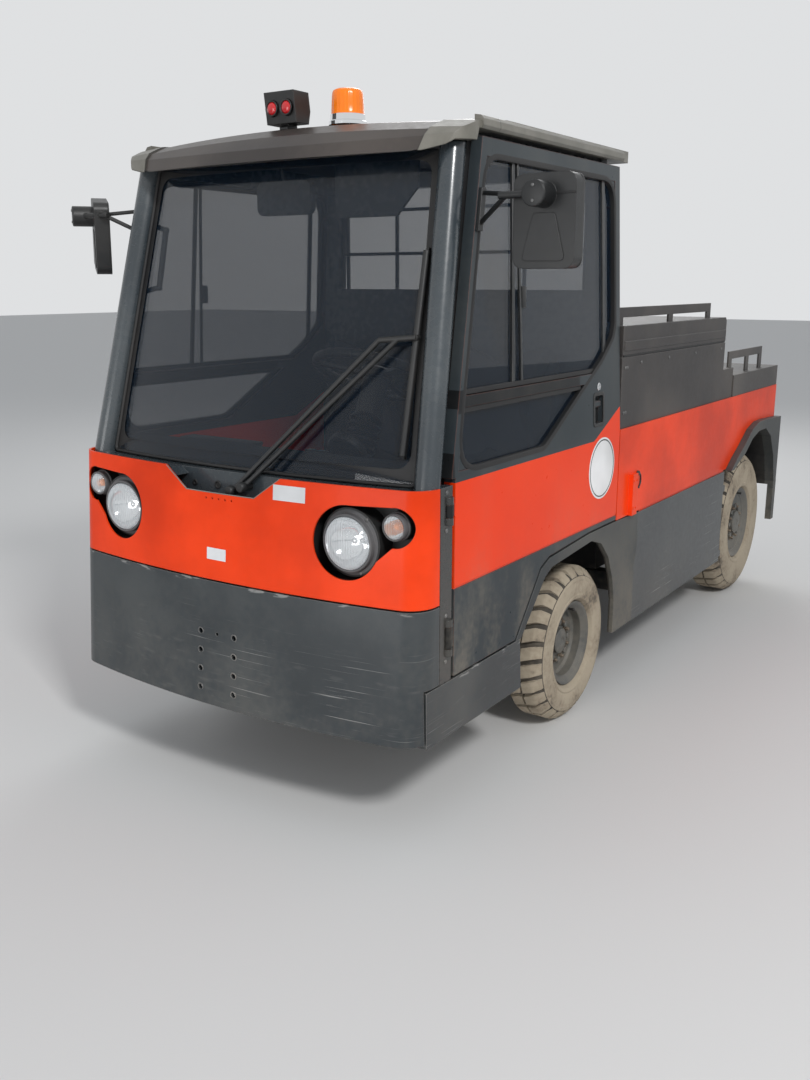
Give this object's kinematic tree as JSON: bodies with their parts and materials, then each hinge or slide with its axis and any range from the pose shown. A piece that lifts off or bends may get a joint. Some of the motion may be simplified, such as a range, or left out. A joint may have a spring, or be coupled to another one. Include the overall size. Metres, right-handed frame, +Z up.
{
  "type": "electric airport baggage tug",
  "caption": "Electric baggage tug with a closed cab, bowed steel bumper, hinged doors, battery hood with lid and cargo rails, steered front wheels and a rear tow coupling.",
  "frame": {"origin": "on the ground under the middle of the vehicle's length and width", "axes": "+X to the vehicle's left, -Y forward, +Z up"},
  "size_m": [1.8099, 3.5158, 2.0153],
  "materials": {
    "dark_steel": "satin, scuffed dark grey chassis paint",
    "bumper_steel": "satin blue-grey paint, scratched",
    "red_panel": "gloss orange-red enamel",
    "grey_panel": "semi-matt blue-grey moulding",
    "hood_paint": "matt brown-grey sun-faded paint",
    "roof_shell": "matt brown-grey moulding",
    "black_plastic": "black moulded plastic",
    "cab_paint": "gloss blue-grey enamel",
    "cab_trim": "dark grained plastic",
    "window_glass": "faintly tinted safety glass",
    "lamp_glass": "clear fluted glass",
    "orange_lens": "orange moulded lens",
    "red_lens": "red moulded lens",
    "seat_cover": "dark coated seat cover",
    "tyre": "dusty rubber",
    "rim_paint": "grey wheel paint",
    "battery": "battery tray",
    "cast_steel": "cast and machined steel"
  },
  "bodies": {
    "chassis": {"chassis_frame": "dark_steel", "axles": "cast_steel", "front_bumper": "bumper_steel", "front_panel": "red_panel", "headlamp_housings": "black_plastic", "front_lenses": "lamp_glass", "wiper": "black_plastic", "windscreen": "window_glass", "cab_frame": "cab_paint", "cab_floor": "cab_trim", "dashboard": "cab_trim", "seat_bases": "black_plastic", "seat_cushions": "seat_cover", "seat_backs": "seat_cover", "roof": "roof_shell", "rear_window": "window_glass", "beacon": "orange_lens", "twin_lamp": "black_plastic", "side_skirts": "bumper_steel", "front_mudguards": "grey_panel", "side_panels": "red_panel", "battery_block": "battery", "hood": "hood_paint", "tail_deck": "hood_paint", "rear_mudguards": "grey_panel", "rear_lamps": "red_lens", "tow_coupling": "cast_steel"},
    "door_left_body": {"door_left": "red_panel", "door_glass_left": "window_glass", "mirror_left": "black_plastic"},
    "door_right_body": {"door_right": "red_panel", "door_glass_right": "window_glass", "mirror_right": "black_plastic"},
    "lid_body": {"hood_lid": "hood_paint"},
    "steering_wheel_body": {"steering_wheel": "black_plastic"},
    "steer_left": {"knuckle_left": "cast_steel"},
    "steer_right": {"knuckle_right": "cast_steel"},
    "wheel_front_left": {"tyre_front_left": "tyre", "rim_front_left": "rim_paint"},
    "wheel_front_right": {"tyre_front_right": "tyre", "rim_front_right": "rim_paint"},
    "wheel_rear_left": {"tyre_rear_left": "tyre", "rim_rear_left": "rim_paint"},
    "wheel_rear_right": {"tyre_rear_right": "tyre", "rim_rear_right": "rim_paint"}
  },
  "joints": [
    {"name": "door_left_hinge", "type": "hinge", "parent": "chassis", "child": "door_left_body", "pos_m": [0.646, -1.53509, 0.72], "axis": [0, 0, -1], "range_deg": [0, 80]},
    {"name": "door_right_hinge", "type": "hinge", "parent": "chassis", "child": "door_right_body", "pos_m": [-0.646, -1.53509, 0.72], "axis": [0, 0, 1], "range_deg": [0, 80]},
    {"name": "hood_lid_hinge", "type": "hinge", "parent": "chassis", "child": "lid_body", "pos_m": [0, 0.74441, 1.238], "axis": [-1, 0, 0], "range_deg": [0, 80]},
    {"name": "steer_right_kingpin", "type": "hinge", "parent": "chassis", "child": "steer_right", "pos_m": [-0.396, -0.64309, 0.27], "axis": [0, 0, 1], "range_deg": [-35, 35]},
    {"name": "steer_left_kingpin", "type": "hinge", "parent": "chassis", "child": "steer_left", "pos_m": [0.396, -0.64309, 0.27], "axis": [0, 0, 1], "range_deg": [-35, 35]},
    {"name": "steering_wheel_turn", "type": "hinge", "parent": "chassis", "child": "steering_wheel_body", "pos_m": [0.2, -1.22609, 1.196], "axis": [0, 0.4226, 0.9063], "range_deg": [-420, 420]},
    {"name": "wheel_front_left_spin", "type": "hinge", "parent": "steer_left", "child": "wheel_front_left", "pos_m": [0.542, -0.64309, 0.27], "axis": [1, 0, 0], "continuous": true},
    {"name": "wheel_front_right_spin", "type": "hinge", "parent": "steer_right", "child": "wheel_front_right", "pos_m": [-0.542, -0.64309, 0.27], "axis": [1, 0, 0], "continuous": true},
    {"name": "wheel_rear_left_spin", "type": "hinge", "parent": "chassis", "child": "wheel_rear_left", "pos_m": [0.53, 1.26691, 0.336], "axis": [1, 0, 0], "continuous": true},
    {"name": "wheel_rear_right_spin", "type": "hinge", "parent": "chassis", "child": "wheel_rear_right", "pos_m": [-0.53, 1.26691, 0.336], "axis": [1, 0, 0], "continuous": true}
  ],
  "couplings": [
    {"joint": "steer_left_kingpin", "follows": "steer_right_kingpin", "ratio": 1},
    {"joint": "steering_wheel_turn", "follows": "steer_right_kingpin", "ratio": 12}
  ]
}
